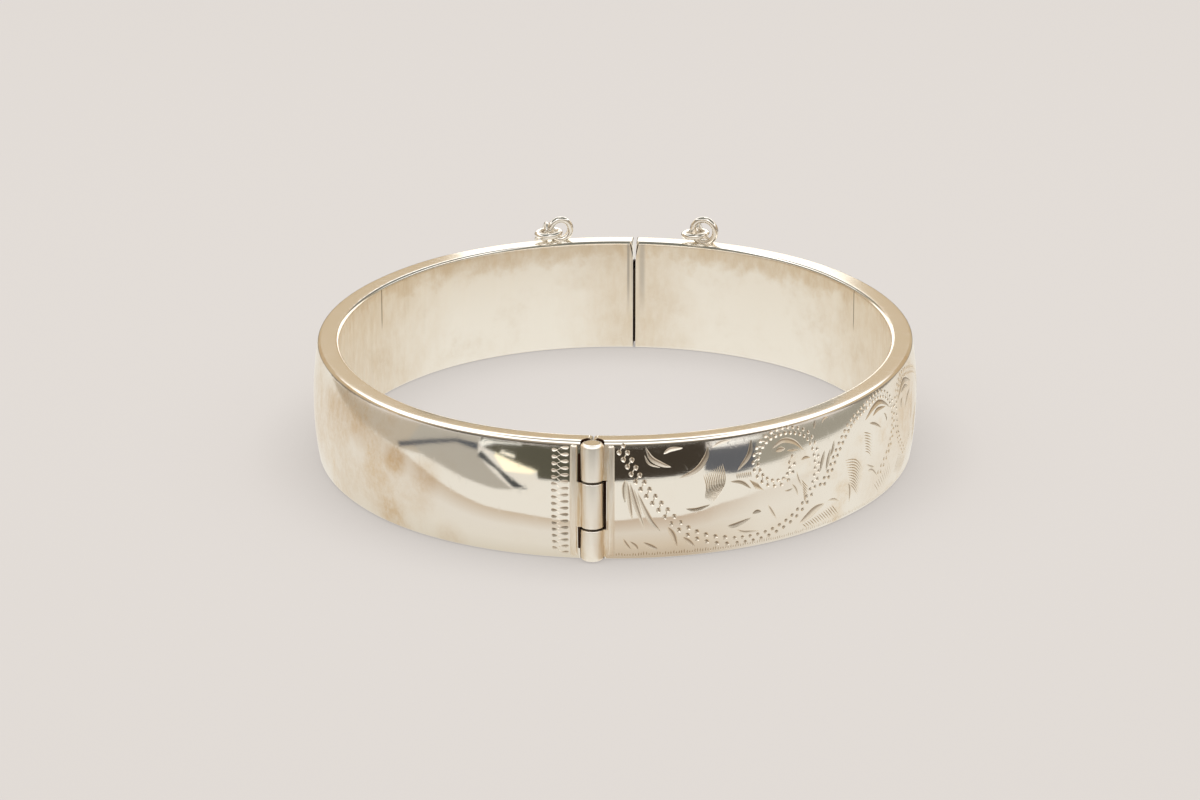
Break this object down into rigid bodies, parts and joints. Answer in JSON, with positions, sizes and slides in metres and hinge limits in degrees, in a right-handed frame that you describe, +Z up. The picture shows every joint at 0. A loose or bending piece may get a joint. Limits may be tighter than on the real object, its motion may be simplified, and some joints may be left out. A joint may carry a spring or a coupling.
{
  "type": "hinged bangle",
  "caption": "Oval hinged silver bangle with a plain half and an engraved half, a barrel hinge, a hidden snap tongue and a fine safety chain.",
  "frame": {"origin": "centre of the wrist opening, at the level of the lower rim that the bangle lies on", "axes": "+Z up through the wrist opening, +Y from the hinge towards the clasp, +X towards the engraved half"},
  "size_m": [0.0582, 0.076, 0.0137],
  "materials": {
    "plain_silver": "polished sterling silver with fine scratches and light tarnish",
    "engraved_silver": "polished sterling silver with bright-cut engraving",
    "hinge_silver": "worn satin silver",
    "wire_silver": "drawn silver wire, softly polished"
  },
  "bodies": {
    "plain_side": {"plain_half": "plain_silver", "clasp_tongue": "hinge_silver", "left_jump_ring": "wire_silver", "chain_left": "wire_silver"},
    "engraved_side": {"engraved_half": "engraved_silver", "hinge_pin": "hinge_silver", "right_jump_ring": "wire_silver", "chain_right": "wire_silver"}
  },
  "joints": [
    {"name": "bangle_hinge", "type": "hinge", "parent": "plain_side", "child": "engraved_side", "pos_m": [0, -0.0322, 0.0057], "axis": [0, 0, -1], "range_deg": [0, 42]}
  ]
}
